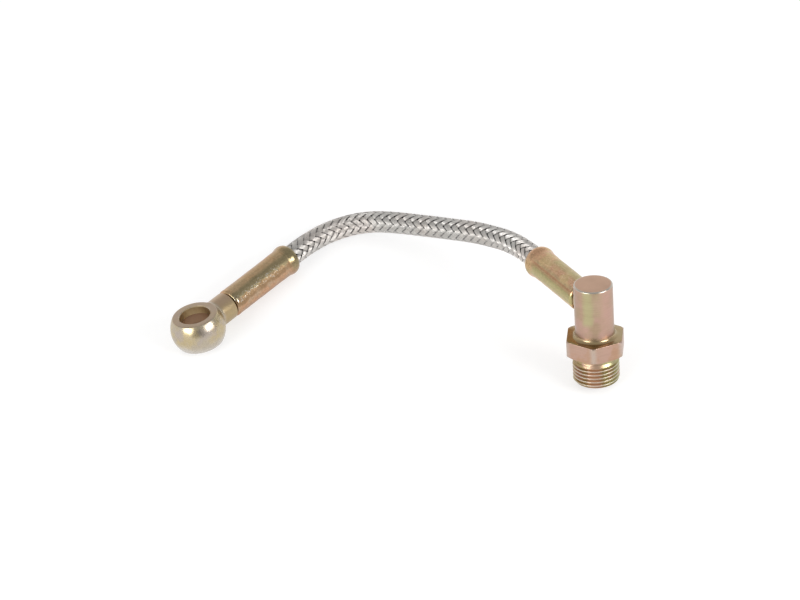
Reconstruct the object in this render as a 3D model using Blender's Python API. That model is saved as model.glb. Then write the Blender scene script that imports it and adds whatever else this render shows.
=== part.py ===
"""Braided fuel line: a ball-shaped banjo eye and a right-angled threaded union on one short hose.

The line lies as it comes to rest: on the rim of its thread, on its banjo eye and on the mouth
of the sleeve beside the eye. X runs along the line, Z is up and Z = 0 is the surface below it.
"""

import math

import bmesh
import bpy
from mathutils import Matrix, Vector

MM = 0.001

# Clearance between pieces that touch on the real line
GAP = 0.3 * MM

# Hose: a plastic liner in a braid of steel wire
HOSE_DIAMETER = 5.8 * MM
BRAID_THICKNESS = 0.4 * MM
LINER_THICKNESS = 0.6 * MM
HOSE_SIDES_STEPS = 4
HOSE_POINT_SPACING = 3.2 * MM
HOSE_STEPS_INSIDE = 4

# Crimped sleeves, one at each end of the hose
SLEEVE_LENGTH = 24.2 * MM
SLEEVE_DIAMETER = 7.7 * MM
SLEEVE_END_WALL = 1.0 * MM
SLEEVE_END_ROUND = 0.9 * MM
LIP_DIAMETER = 8.4 * MM
LIP_TO_MOUTH = 1.5 * MM
LIP_FLARE = 1.9 * MM
MOUTH_RIM = 0.35 * MM

# What each end fitting has inside its sleeve: a neck that the sleeve's wall hooks into, a collar
# and a ribbed tail that holds the liner from inside
HOOK_DIAMETER = 4.2 * MM
COLLAR_LENGTH = 1.0 * MM
TAIL_LENGTH = 17.0 * MM
TAIL_BORE = 1.5 * MM
TAIL_RIB_HEIGHT = 0.18 * MM
TAIL_RIB_PITCH = 3.0 * MM

# Banjo eye
EYE_DIAMETER = 14.4 * MM
EYE_WIDTH = 8.3 * MM
EYE_BORE = 8.2 * MM
EYE_GROOVE_DIAMETER = 9.8 * MM
EYE_GROOVE_WIDTH = 3.6 * MM
EYE_NECK_DIAMETER = 7.5 * MM
EYE_TO_SLEEVE = 11.7 * MM
EYE_NECK_FILLET = 1.2 * MM

# Threaded union, turned from hexagon bar
THREAD_DIAMETER = 11.85 * MM
THREAD_PITCH = 1.0 * MM
THREAD_LENGTH = 6.6 * MM
THREAD_CHAMFER = 0.7 * MM
THREAD_RUN_OUT = 1.1 * MM
THREAD_DEPTH_SHARE = 0.5413  # of the pitch
# Radius and height of the corners of one thread ridge: 0 is its root and 1 is its crest or its end
THREAD_RIDGE = ((0, 0.0), (0, 0.25), (1, 0.5625), (1, 0.6875))
UNDERCUT_LENGTH = 1.5 * MM
UNDERCUT_DEPTH = 0.65 * MM
UNDERCUT_FILLET = 0.4 * MM
HEX_ACROSS_FLATS = 14.0 * MM
HEX_HEIGHT = 4.5 * MM
HEX_CHAMFER_ANGLE = math.radians(30)
HEX_TOP_CHAMFER = 0.25 * MM
HEX_FOOT_CHAMFER = 0.5 * MM
HEX_TURN = math.radians(27.5)
POST_DIAMETER = 9.9 * MM
POST_HEIGHT = 14.4 * MM
POST_FILLET = 1.0 * MM
POST_CHAMFER = 0.3 * MM
RECESS_DIAMETER = 7.0 * MM
RECESS_DEPTH = 6.5 * MM
DRILL_POINT_ANGLE = math.radians(31)
FUEL_BORE = 4.5 * MM
BRANCH_HEIGHT = 20.8 * MM
POST_TO_SLEEVE = 0.35 * MM

# Tail of the union's branch, brazed into a seat in the post
SPIGOT_DIAMETER = 4.4 * MM
FLANGE_DIAMETER = 6.6 * MM
FLANGE_LENGTH = 1.4 * MM

# How each fitting points from its end of the hose: heading and rise of its axis, then its roll
EYE_HEADING = math.radians(50.4)
EYE_RISE = math.radians(-1.6)
EYE_ROLL = math.radians(-10.4)
UNION_HEADING = math.radians(117.8)
UNION_RISE = math.radians(-10.8)
UNION_ROLL = math.radians(6.3)

# The visible hose from one sleeve's mouth to the other's, in millimetres
HOSE_ROUTE = (
    (-28.2, 21.2, 4.14),
    (-25.5, 24.4, 4.08),
    (-22.4, 27.5, 4.03),
    (-18.7, 30.3, 4.10),
    (-14.2, 32.2, 4.42),
    (-9.6, 32.9, 4.96),
    (-5.0, 32.3, 5.63),
    (-0.8, 30.7, 6.44),
    (3.2, 28.8, 7.24),
    (7.2, 26.7, 8.05),
    (11.1, 24.7, 8.85),
    (14.9, 22.6, 9.65),
    (18.7, 20.4, 10.55),
    (22.4, 18.1, 11.39),
    (25.9, 15.5, 12.18),
    (29.2, 12.6, 13.07),
    (32.2, 9.2, 13.95),
    (34.6, 5.6, 14.77),
    (36.3, 2.7, 15.43),
    (37.5, 0.3, 15.93),
)

# Sizes that follow from the ones above
HOSE_RADIUS = HOSE_DIAMETER / 2
LINER_RADIUS = HOSE_RADIUS - BRAID_THICKNESS - GAP
TAIL_RADIUS = LINER_RADIUS - LINER_THICKNESS - GAP
SLEEVE_BORE_RADIUS = HOSE_RADIUS + GAP
COLLAR_RADIUS = SLEEVE_BORE_RADIUS - GAP
COLLAR_START = SLEEVE_END_WALL + GAP
HOSE_START = COLLAR_START + COLLAR_LENGTH + GAP
HOSE_INSERTED = SLEEVE_LENGTH - HOSE_START
POST_RADIUS = POST_DIAMETER / 2
HEX_FOOT = THREAD_LENGTH + UNDERCUT_LENGTH
HEX_TOP = HEX_FOOT + HEX_HEIGHT
POST_TOP = HEX_TOP + POST_HEIGHT
UNION_TO_SLEEVE = POST_RADIUS + POST_TO_SLEEVE

ROUND_SEGMENTS = 32
HEX_LIMIT_SEGMENTS = 48
SMALL_SEGMENTS = 24
DRILL_SEGMENTS = 12
SHARP_ANGLE = math.radians(35)
OVERRUN = 1.0 * MM


def clear_scene():
    for item in list(bpy.data.objects):
        bpy.data.objects.remove(item, do_unlink=True)


def make_material(name, colour, roughness, metallic):
    material = bpy.data.materials.new(name)
    material.use_nodes = True
    shader = material.node_tree.nodes["Principled BSDF"]
    shader.inputs["Base Color"].default_value = (*colour, 1.0)
    shader.inputs["Roughness"].default_value = roughness
    shader.inputs["Metallic"].default_value = metallic
    return material


def link_mesh(name, form, frame=None, material=None):
    """Turns a bmesh into an object with smooth rounds and sharp corners, placed by the frame."""
    bmesh.ops.recalc_face_normals(form, faces=form.faces)
    mesh = bpy.data.meshes.new(name)
    form.to_mesh(mesh)
    form.free()
    mesh.shade_smooth()
    mesh.set_sharp_from_angle(angle=SHARP_ANGLE)
    item = bpy.data.objects.new(name, mesh)
    bpy.context.scene.collection.objects.link(item)
    if frame is not None:
        item.matrix_world = frame
    if material is not None:
        mesh.materials.append(material)
    return item


def stem_frame(origin, heading, rise, roll):
    """Z runs along the stem towards the hose, and X is the fitting's own cross axis."""
    along = Vector((
        math.cos(rise) * math.cos(heading),
        math.cos(rise) * math.sin(heading),
        math.sin(rise),
    ))
    up = Vector((0, 0, 1))
    level = (up - along * up.dot(along)).normalized()
    cross = level * math.cos(roll) + along.cross(level) * math.sin(roll)
    side = along.cross(cross)
    frame = Matrix((cross, side, along)).transposed().to_4x4()
    frame.translation = origin
    return frame


def revolve(profile, segments=ROUND_SEGMENTS):
    """Turns (radius, height) points about Z. A closed loop of them makes a ring, and a profile
    that starts and ends on the axis makes a solid."""
    form = bmesh.new()
    rings = []
    for radius, height in profile:
        if radius == 0:
            rings.append([form.verts.new((0, 0, height))])
            continue
        turn = [2 * math.pi * i / segments for i in range(segments)]
        rings.append([
            form.verts.new((radius * math.cos(a), radius * math.sin(a), height)) for a in turn
        ])
    closed = len(rings[0]) > 1
    pairs = list(zip(rings, rings[1:] + rings[:1])) if closed else list(zip(rings, rings[1:]))
    for lower, upper in pairs:
        for i in range(segments):
            j = (i + 1) % segments
            corners = [lower[i % len(lower)], lower[j % len(lower)]]
            corners += [upper[j % len(upper)], upper[i % len(upper)]]
            form.faces.new(list(dict.fromkeys(corners)))
    return form


def arc(centre, radius, start, end, steps):
    """Points of an arc in the (radius, height) plane, between two angles in degrees."""
    angles = [math.radians(start + (end - start) * i / steps) for i in range(steps + 1)]
    return [(centre[0] + radius * math.cos(a), centre[1] + radius * math.sin(a)) for a in angles]


def cylinder_form(radius, bottom, top, segments=ROUND_SEGMENTS):
    return revolve([(0, bottom), (radius, bottom), (radius, top), (0, top)], segments)


def boolean(item, cutter, operation):
    """Adds, cuts or keeps the common part, then removes the helper."""
    step = item.modifiers.new(operation.title(), "BOOLEAN")
    step.operation = operation
    step.solver = "EXACT"
    step.object = cutter
    bpy.context.view_layer.update()
    graph = bpy.context.evaluated_depsgraph_get()
    result = bpy.data.meshes.new_from_object(item.evaluated_get(graph))
    item.modifiers.remove(step)
    old = item.data
    item.data = result
    bpy.data.meshes.remove(old)
    bpy.data.objects.remove(cutter, do_unlink=True)


def helper(form, turn=None):
    return link_mesh("helper", form, turn)


def tail_profile(start):
    """Outer points of the hook neck, collar and ribbed tail, from the sleeve's wall inwards."""
    hook = HOOK_DIAMETER / 2
    collar_start = start + COLLAR_START
    collar_end = collar_start + COLLAR_LENGTH
    tail_end = collar_end + TAIL_LENGTH
    root = TAIL_RADIUS - TAIL_RIB_HEIGHT
    points = [(hook, collar_start), (COLLAR_RADIUS, collar_start), (COLLAR_RADIUS, collar_end)]
    points.append((TAIL_RADIUS, collar_end))
    for i in range(int(TAIL_LENGTH / TAIL_RIB_PITCH) - 1):
        foot = collar_end + (i + 1) * TAIL_RIB_PITCH
        points += [(TAIL_RADIUS, foot), (root, foot + 2 * TAIL_RIB_HEIGHT)]
    points += [(root, tail_end)]
    return points


def build_hose_path():
    """Smooth points of the hose's centre line, from inside one sleeve to inside the other."""
    route = [Vector(point) * MM for point in HOSE_ROUTE]
    eye_axis = stem_frame(route[0], EYE_HEADING, EYE_RISE, EYE_ROLL).col[2].to_3d()
    union_axis = stem_frame(route[-1], UNION_HEADING, UNION_RISE, UNION_ROLL).col[2].to_3d()
    straight = HOSE_STEPS_INSIDE
    head = [route[0] - eye_axis * HOSE_INSERTED * (1 - i / straight) for i in range(straight)]
    tail = [route[-1] - union_axis * HOSE_INSERTED * (i + 1) / straight for i in range(straight)]
    knots = head + route + tail
    points = []
    for i in range(len(knots) - 1):
        before = knots[max(i - 1, 0)]
        after = knots[min(i + 2, len(knots) - 1)]
        inside = i < straight or i >= len(knots) - 1 - straight
        steps = 1 if inside else max(1, round((knots[i + 1] - knots[i]).length / HOSE_POINT_SPACING))
        for k in range(steps):
            points.append(smooth_point(before, knots[i], knots[i + 1], after, k / steps))
    points.append(knots[-1])
    return points


def smooth_point(before, start, end, after, share):
    """A point of the smooth curve through four knots, between the middle two."""
    slope_start = (end - before) / 2
    slope_end = (after - start) / 2
    s2, s3 = share ** 2, share ** 3
    return (
        start * (2 * s3 - 3 * s2 + 1)
        + slope_start * (s3 - 2 * s2 + share)
        + end * (3 * s2 - 2 * s3)
        + slope_end * (s3 - s2)
    )


def make_hose_layer(name, radius, thickness, points, material):
    """A hollow tube along the hose, open at both of its cut ends."""
    curve = bpy.data.curves.new(name, "CURVE")
    curve.dimensions = "3D"
    curve.bevel_depth = radius
    curve.bevel_resolution = HOSE_SIDES_STEPS
    curve.use_fill_caps = False
    curve.twist_mode = "MINIMUM"
    spline = curve.splines.new("POLY")
    spline.points.add(len(points) - 1)
    for target, point in zip(spline.points, points):
        target.co = (*point, 1.0)
    curve.materials.append(material)
    item = bpy.data.objects.new(name, curve)
    bpy.context.scene.collection.objects.link(item)
    wall = item.modifiers.new("Wall", "SOLIDIFY")
    wall.thickness = thickness
    wall.offset = -1
    wall.use_even_offset = True
    return item


def make_sleeve(name, frame, material):
    """A thin tube crimped on the hose, wider at its mouth, with a wall that hooks the fitting."""
    outer = SLEEVE_DIAMETER / 2
    lip = LIP_DIAMETER / 2
    bore = SLEEVE_BORE_RADIUS
    hole = HOOK_DIAMETER / 2 + GAP
    lip_at = SLEEVE_LENGTH - LIP_TO_MOUTH
    rim = bore + MOUTH_RIM
    points = [(hole, 0)]
    points += arc((outer - SLEEVE_END_ROUND, SLEEVE_END_ROUND), SLEEVE_END_ROUND, -90, 0, 5)
    steps = 4
    for i in range(steps + 1):
        share = i / steps
        rise = (1 - math.cos(math.pi * share)) / 2
        points.append((outer + (lip - outer) * rise, lip_at - LIP_FLARE * (1 - share)))
    for i in range(1, steps + 1):
        angle = math.radians(90 * i / steps)
        points.append((rim + (lip - rim) * math.cos(angle), lip_at + LIP_TO_MOUTH * math.sin(angle)))
    points += [(bore, SLEEVE_LENGTH - MOUTH_RIM / 2), (bore, SLEEVE_END_WALL)]
    points.append((hole, SLEEVE_END_WALL))
    return link_mesh(name, revolve(points), frame, material)


def make_banjo_eye(frame, material):
    """Ball, neck and hose tail turned in one piece, then faced, bored and grooved for the bolt."""
    ball = EYE_DIAMETER / 2
    neck = EYE_NECK_DIAMETER / 2
    shoulder = EYE_TO_SLEEVE - GAP
    edge = GAP
    meet = math.degrees(math.acos((neck + EYE_NECK_FILLET) / (ball + EYE_NECK_FILLET)))
    centre = (neck + EYE_NECK_FILLET, (ball + EYE_NECK_FILLET) * math.sin(math.radians(meet)))
    points = [(0, -ball)] + arc((0, 0), ball, -82, meet, 17)
    points += arc(centre, EYE_NECK_FILLET, 180 + meet, 180, 3)[1:]
    points += [(neck, shoulder - edge), (neck - edge, shoulder), (HOOK_DIAMETER / 2, shoulder)]
    points += tail_profile(EYE_TO_SLEEVE)
    points.append((0, points[-1][1]))
    eye = link_mesh("banjo_eye", revolve(points), frame, material)
    far = EYE_DIAMETER
    across = Matrix.Rotation(math.radians(90), 4, "Y")
    for side in (-1, 1):
        form = bmesh.new()
        bmesh.ops.create_cube(form, size=1)
        bmesh.ops.scale(form, vec=(far, 2 * far, 2 * EYE_TO_SLEEVE - 2 * GAP), verts=form.verts)
        bmesh.ops.translate(form, vec=(side * (far + EYE_WIDTH) / 2, 0, 0), verts=form.verts)
        boolean(eye, helper(form, frame), "DIFFERENCE")
    bore = cylinder_form(EYE_BORE / 2, -far / 2, far / 2)
    boolean(eye, helper(bore, frame @ across), "DIFFERENCE")
    groove = cylinder_form(EYE_GROOVE_DIAMETER / 2, -EYE_GROOVE_WIDTH / 2, EYE_GROOVE_WIDTH / 2)
    boolean(eye, helper(groove, frame @ across), "DIFFERENCE")
    drill = cylinder_form(TAIL_BORE / 2, EYE_BORE / 4, points[-1][1] + OVERRUN, DRILL_SEGMENTS)
    boolean(eye, helper(drill, frame), "DIFFERENCE")
    return eye


def make_branch_tail(frame, material):
    """Turned tail of the union: a spigot and a flange in the post, and the hose tail outside."""
    flange_end = UNION_TO_SLEEVE - GAP
    flange_start = flange_end - FLANGE_LENGTH
    spigot_start = FUEL_BORE / 2 + GAP
    points = [(TAIL_BORE / 2, spigot_start), (SPIGOT_DIAMETER / 2, spigot_start)]
    points += [(SPIGOT_DIAMETER / 2, flange_start), (FLANGE_DIAMETER / 2, flange_start)]
    points += [(FLANGE_DIAMETER / 2, flange_end), (HOOK_DIAMETER / 2, flange_end)]
    points += tail_profile(UNION_TO_SLEEVE)
    points.append((TAIL_BORE / 2, points[-1][1]))
    return link_mesh("union_hose_tail", revolve(points, SMALL_SEGMENTS), frame, material)


def make_thread(radius, pitch, bottom, top):
    """The thread cut to its two heights, with a chamfer at its free end and a run-out at the top."""
    segments = ROUND_SEGMENTS
    depth = THREAD_DEPTH_SHARE * pitch
    turns = math.ceil((top - bottom) / pitch) + 3
    form = bmesh.new()
    grid = []
    for k in range(4 * turns + 1):
        rise, share = THREAD_RIDGE[k % 4]
        r = radius - depth * (1 - rise)
        height = bottom - pitch * 1.5 + pitch * (k // 4 + share)
        grid.append([
            form.verts.new((
                r * math.cos(2 * math.pi * i / segments),
                r * math.sin(2 * math.pi * i / segments),
                height + pitch * i / segments,
            ))
            for i in range(segments)
        ])
    rows = len(grid)
    for k in range(rows - 1):
        for i in range(segments - 1):
            form.faces.new((grid[k][i], grid[k][i + 1], grid[k + 1][i + 1], grid[k + 1][i]))
    for k in range(rows - 5):
        start, end = grid[k][-1], grid[k + 1][-1]
        form.faces.new((start, grid[k + 4][0], grid[k + 5][0], end))
    foot = form.verts.new((0, 0, bottom - pitch * 3))
    low = list(grid[0]) + [grid[k][0] for k in range(4, 0, -1)]
    for a, b in zip(low, low[1:] + low[:1]):
        form.faces.new((b, a, foot))
    head = form.verts.new((0, 0, grid[-1][-1].co.z + pitch * 3))
    high = list(grid[-1]) + [grid[k][-1] for k in range(rows - 2, rows - 6, -1)]
    for a, b in zip(high, high[1:] + high[:1]):
        form.faces.new((a, b, head))
    ridge = helper(form)
    limit = [(0, bottom), (radius - THREAD_CHAMFER, bottom)]
    limit += [(radius + OVERRUN, bottom + THREAD_CHAMFER + OVERRUN)]
    steepness = THREAD_RUN_OUT / UNDERCUT_DEPTH
    limit += [(radius + OVERRUN, top - THREAD_RUN_OUT - OVERRUN * steepness)]
    limit += [(radius - UNDERCUT_DEPTH, top), (0, top)]
    boolean(ridge, helper(revolve(limit)), "INTERSECT")
    return ridge


def make_hexagon(bottom, top):
    """Hexagon bar with its corners turned off at both ends."""
    corner = HEX_ACROSS_FLATS / math.sqrt(3)
    tangent = math.tan(HEX_CHAMFER_ANGLE)
    bar = helper(cylinder_form(corner, bottom, top, 6), Matrix.Rotation(HEX_TURN, 4, "Z"))
    foot = corner - HEX_FOOT_CHAMFER / tangent
    head = corner - HEX_TOP_CHAMFER / tangent
    far = corner + OVERRUN
    reach = OVERRUN * tangent
    limit = [(0, bottom), (foot, bottom), (far, bottom + HEX_FOOT_CHAMFER + reach)]
    limit += [(far, top - HEX_TOP_CHAMFER - reach), (head, top), (0, top)]
    boolean(bar, helper(revolve(limit, HEX_LIMIT_SEGMENTS)), "INTERSECT")
    return bar


def make_threaded_union(frame, material):
    """Post, hexagon and male thread turned in one piece, bored from below and seated for the tail."""
    post = POST_RADIUS
    neck = THREAD_DIAMETER / 2 - UNDERCUT_DEPTH
    inside = THREAD_LENGTH / 2
    points = [(0, inside), (neck - GAP, inside), (neck - GAP, THREAD_LENGTH - GAP)]
    points += [(neck, THREAD_LENGTH)]
    points += arc((neck + UNDERCUT_FILLET, HEX_FOOT - UNDERCUT_FILLET), UNDERCUT_FILLET, 180, 90, 3)
    points += [(neck + UNDERCUT_FILLET, HEX_FOOT + GAP), (post, HEX_FOOT + GAP)]
    points += [(post, HEX_TOP - GAP), (post + POST_FILLET, HEX_TOP - GAP)]
    fillet = arc((post + POST_FILLET, HEX_TOP + POST_FILLET), POST_FILLET, 270, 180, 4)
    points += fillet
    points += [(post, POST_TOP - POST_CHAMFER), (post - POST_CHAMFER, POST_TOP), (0, POST_TOP)]
    union = link_mesh("threaded_union", revolve(points), None, material)
    boolean(union, make_hexagon(HEX_FOOT, HEX_TOP), "UNION")
    thread = make_thread(THREAD_DIAMETER / 2, THREAD_PITCH, 0, THREAD_LENGTH)
    boolean(union, thread, "UNION")
    recess, bore = RECESS_DIAMETER / 2, FUEL_BORE / 2
    cone = (recess - bore) * math.tan(DRILL_POINT_ANGLE)
    drill_top = BRANCH_HEIGHT + bore
    hole = [(0, -OVERRUN), (recess, -OVERRUN), (recess, RECESS_DEPTH)]
    hole += [(bore, RECESS_DEPTH + cone), (bore, drill_top), (0, drill_top + bore / 2)]
    boolean(union, helper(revolve(hole)), "DIFFERENCE")
    seat_radius = FLANGE_DIAMETER / 2 + GAP
    socket_radius = SPIGOT_DIAMETER / 2 + GAP
    seat_start = UNION_TO_SLEEVE - 2 * GAP - FLANGE_LENGTH
    seat = [(0, bore / 2), (socket_radius, bore / 2), (socket_radius, seat_start)]
    seat += [(seat_radius, seat_start), (seat_radius, post + OVERRUN), (0, post + OVERRUN)]
    turn = Matrix.Translation((0, 0, BRANCH_HEIGHT)) @ Matrix.Rotation(math.radians(90), 4, "Y")
    boolean(union, helper(revolve(seat, SMALL_SEGMENTS), turn), "DIFFERENCE")
    union.matrix_world = frame
    return union


def union_frame(branch):
    """The union's own frame, with Z up its post and X towards the hose, from its branch's frame."""
    along = branch.col[2].to_3d()
    post = branch.col[0].to_3d()
    frame = Matrix((along, post.cross(along), post)).transposed().to_4x4()
    frame.translation = branch.translation - post * BRANCH_HEIGHT
    return frame


def build():
    clear_scene()
    plated = make_material("yellow_zinc", (0.62, 0.47, 0.30), 0.30, 0.9)
    pale = make_material("pale_yellow_zinc", (0.66, 0.58, 0.42), 0.25, 0.9)
    olive = make_material("olive_zinc", (0.55, 0.42, 0.24), 0.32, 0.9)
    tan = make_material("tan_zinc", (0.60, 0.44, 0.30), 0.32, 0.9)
    bright = make_material("inner_zinc", (0.58, 0.45, 0.27), 0.35, 0.9)
    wire = make_material("steel_wire", (0.55, 0.54, 0.52), 0.30, 1.0)
    plastic = make_material("liner_plastic", (0.10, 0.10, 0.10), 0.50, 0.0)

    path = build_hose_path()
    make_hose_layer("wire_braid", HOSE_RADIUS, BRAID_THICKNESS, path, wire)
    make_hose_layer("hose_liner", LINER_RADIUS, LINER_THICKNESS, path, plastic)

    eye_mouth = Vector(HOSE_ROUTE[0]) * MM
    eye_angles = (EYE_HEADING, EYE_RISE, EYE_ROLL)
    eye_axis = stem_frame(eye_mouth, *eye_angles).col[2].to_3d()
    eye_sleeve = eye_mouth - eye_axis * SLEEVE_LENGTH
    make_sleeve("eye_sleeve", stem_frame(eye_sleeve, *eye_angles), olive)
    make_banjo_eye(stem_frame(eye_sleeve - eye_axis * EYE_TO_SLEEVE, *eye_angles), pale)

    union_mouth = Vector(HOSE_ROUTE[-1]) * MM
    union_angles = (UNION_HEADING, UNION_RISE, UNION_ROLL)
    union_axis = stem_frame(union_mouth, *union_angles).col[2].to_3d()
    union_sleeve = union_mouth - union_axis * SLEEVE_LENGTH
    make_sleeve("union_sleeve", stem_frame(union_sleeve, *union_angles), tan)
    branch = stem_frame(union_sleeve - union_axis * UNION_TO_SLEEVE, *union_angles)
    make_branch_tail(branch, bright)
    make_threaded_union(union_frame(branch), plated)


build()
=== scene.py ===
import math

import bmesh
import bpy
from mathutils import Matrix, Vector, noise


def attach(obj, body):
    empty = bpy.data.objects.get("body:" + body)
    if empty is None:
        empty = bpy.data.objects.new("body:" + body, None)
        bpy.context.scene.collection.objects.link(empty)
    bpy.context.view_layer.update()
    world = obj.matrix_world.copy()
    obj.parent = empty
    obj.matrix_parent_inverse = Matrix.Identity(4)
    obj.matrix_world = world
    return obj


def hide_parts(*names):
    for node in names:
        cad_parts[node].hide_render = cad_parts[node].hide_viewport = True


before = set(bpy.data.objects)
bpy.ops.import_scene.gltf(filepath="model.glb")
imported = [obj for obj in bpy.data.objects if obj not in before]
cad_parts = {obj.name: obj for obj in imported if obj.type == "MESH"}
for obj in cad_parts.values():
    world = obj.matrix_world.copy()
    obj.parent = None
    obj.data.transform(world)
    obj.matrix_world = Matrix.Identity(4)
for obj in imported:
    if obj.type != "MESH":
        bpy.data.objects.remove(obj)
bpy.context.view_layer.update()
mm = 0.001
print("frame loaded:", len(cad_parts), "nodes")

# The hose, with its centre line from one sleeve's mouth to the other's, in mm in the part's frame
hose = {
    "route": [
        (-28.2, 21.2, 4.14), (-25.5, 24.4, 4.08), (-22.4, 27.5, 4.03), (-18.7, 30.3, 4.10),
        (-14.2, 32.2, 4.42), (-9.6, 32.9, 4.96), (-5.0, 32.3, 5.63), (-0.8, 30.7, 6.44),
        (3.2, 28.8, 7.24), (7.2, 26.7, 8.05), (11.1, 24.7, 8.85), (14.9, 22.6, 9.65),
        (18.7, 20.4, 10.55), (22.4, 18.1, 11.39), (25.9, 15.5, 12.18), (29.2, 12.6, 13.07),
        (32.2, 9.2, 13.95), (34.6, 5.6, 14.77), (36.3, 2.7, 15.43), (37.5, 0.3, 15.93),
    ],
    "diameter": 5.8,
    "insideSleeve": 4.0,  # how far the modelled wires go on inside each sleeve
    "stepsPerSpan": 5,
}
# The way that each fitting points towards the hose, in degrees
eyePose = {"heading": 50.4, "rise": -1.6, "roll": -10.4}
unionPose = {"heading": 117.8, "rise": -10.8, "roll": 6.3}
# Both sleeves, in mm
sleeve = {
    "length": 24.2, "diameter": 7.7, "bore": 6.4, "endWall": 1.0, "endRound": 0.9, "hole": 4.8,
    "lipDiameter": 8.4, "lipToMouth": 1.5, "lipFlare": 1.9, "mouthRim": 0.35, "mouthBore": 6.05,
    "segments": 144,
}


def fitFrame(origin, pose):
    # Z runs along the fitting towards the hose, and X is its cross axis: the bore's or the post's
    heading, rise, roll = (math.radians(pose[key]) for key in ("heading", "rise", "roll"))
    along = Vector((
        math.cos(rise) * math.cos(heading), math.cos(rise) * math.sin(heading), math.sin(rise)))
    up = Vector((0, 0, 1))
    level = (up - along * up.dot(along)).normalized()
    cross = level * math.cos(roll) + along.cross(level) * math.sin(roll)
    matrix = Matrix((cross, along.cross(cross), along)).transposed().to_4x4()
    matrix.translation = origin
    return matrix


def moved(matrix, distance):
    # The same frame, moved along its own Z
    return matrix @ Matrix.Translation((0, 0, distance))


eyeMouth = fitFrame(Vector(hose["route"][0]), eyePose)
unionMouth = fitFrame(Vector(hose["route"][-1]), unionPose)


# Node trees: a value wraps a socket, so that sums and products of values add their Math nodes
class Value:
    def __init__(self, nodes, socket):
        self.nodes = nodes
        self.socket = socket

    def maths(self, operation, *others):
        return self.nodes.add("ShaderNodeMath", {"operation": operation}, [self, *others])

    def __add__(self, other):
        return self.maths("ADD", other)

    def __radd__(self, other):
        return self.maths("ADD", other)

    def __sub__(self, other):
        return self.maths("SUBTRACT", other)

    def __rsub__(self, other):
        return self.nodes.add("ShaderNodeMath", {"operation": "SUBTRACT"}, [other, self])

    def __mul__(self, other):
        return self.maths("MULTIPLY", other)

    def __rmul__(self, other):
        return self.maths("MULTIPLY", other)

    def __truediv__(self, other):
        return self.maths("DIVIDE", other)

    def floor(self):
        return self.maths("FLOOR")

    def cos(self):
        return self.maths("COSINE")

    def sin(self):
        return self.maths("SINE")

    def root(self):
        return self.maths("SQRT")

    def between(self, low, high):
        # 0 at low, 1 at high, with a soft step in between
        return self.nodes.add(
            "ShaderNodeMapRange", {"interpolation_type": "SMOOTHSTEP"},
            {"Value": self, "From Min": low, "From Max": high})

    def clamped(self, low, high):
        return self.maths("MAXIMUM", low).maths("MINIMUM", high)


class NodeTree:
    def __init__(self, tree):
        self.tree = tree

    def add(self, kind, settings=None, inputs=None, out=0):
        node = self.tree.nodes.new(kind)
        for key, setting in (settings or {}).items():
            setattr(node, key, setting)
        pairs = enumerate(inputs) if isinstance(inputs, list) else (inputs or {}).items()
        for key, entry in pairs:
            if isinstance(entry, Value):
                self.tree.links.new(entry.socket, node.inputs[key])
            else:
                node.inputs[key].default_value = entry
        return Value(self, node.outputs[out])

    def mix(self, mask, first, second):
        # Blends two colours, given as values or as three numbers. The sockets that colours use are
        # numbered here, because a Mix node's other kinds have the same names
        first, second = (
            entry if isinstance(entry, Value) else (*entry, 1) for entry in (first, second))
        return self.add(
            "ShaderNodeMix", {"data_type": "RGBA"}, {0: mask, 6: first, 7: second}, out=2)

    def scaled(self, vector, factor):
        return self.add(
            "ShaderNodeVectorMath", {"operation": "SCALE"}, {0: vector, "Scale": factor})

    def vector(self, x, y, z):
        return self.add("ShaderNodeCombineXYZ", None, [x, y, z])

    def split(self, vector):
        node = self.tree.nodes.new("ShaderNodeSeparateXYZ")
        self.tree.links.new(vector.socket, node.inputs[0])
        return [Value(self, socket) for socket in node.outputs]

    def attribute(self, name, out="Fac"):
        return self.add("ShaderNodeAttribute", {"attribute_name": name}, out=out)

    def noise(self, vector, scale, detail=2.0):
        return self.add(
            "ShaderNodeTexNoise", None,
            {"Vector": vector, "Scale": scale, "Detail": detail, "Roughness": 0.55})

    def bump(self, height, strength, distance, under=None):
        sockets = {"Height": height, "Strength": strength, "Distance": distance}
        if under is not None:
            sockets["Normal"] = under
        return self.add("ShaderNodeBump", None, sockets)


def newMaterial(name):
    # Returns the material, its node tree and its Principled shader
    material = bpy.data.materials.new(name)
    material.use_nodes = True
    return material, NodeTree(material.node_tree), material.node_tree.nodes["Principled BSDF"]


def plug(nodes, shader, socket, entry):
    # Links a value to a shader's socket, or sets a plain number or colour on it
    if isinstance(entry, Value):
        nodes.tree.links.new(entry.socket, shader.inputs[socket])
    else:
        shader.inputs[socket].default_value = entry


def fitPlace(nodes):
    # The point in the piece's own fitting frame, in mm: x and y across it, z along it
    place = nodes.attribute("fitPlace", "Vector")
    return (place, *nodes.split(place))


def towards(x, y, heading):
    # 1 on the side that faces the heading, in degrees, and -1 on the far side
    angle = math.radians(heading)
    return (x * math.cos(angle) + y * math.sin(angle)) / (x * x + y * y + 0.01).root()


# Meshes
def storePlace(mesh):
    # Keeps each point's place in the fitting's own frame, for the materials
    layer = mesh.attributes.new("fitPlace", "FLOAT_VECTOR", "POINT")
    flat = [0.0] * (3 * len(mesh.vertices))
    mesh.vertices.foreach_get("co", flat)
    layer.data.foreach_set("vector", flat)


def meshObject(name, points, faces):
    mesh = bpy.data.meshes.new(name)
    mesh.from_pydata(points, [], faces)
    form = bmesh.new()
    form.from_mesh(mesh)
    bmesh.ops.recalc_face_normals(form, faces=form.faces)
    form.to_mesh(mesh)
    form.free()
    item = bpy.data.objects.new(name, mesh)
    bpy.context.scene.collection.objects.link(item)
    return item


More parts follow.
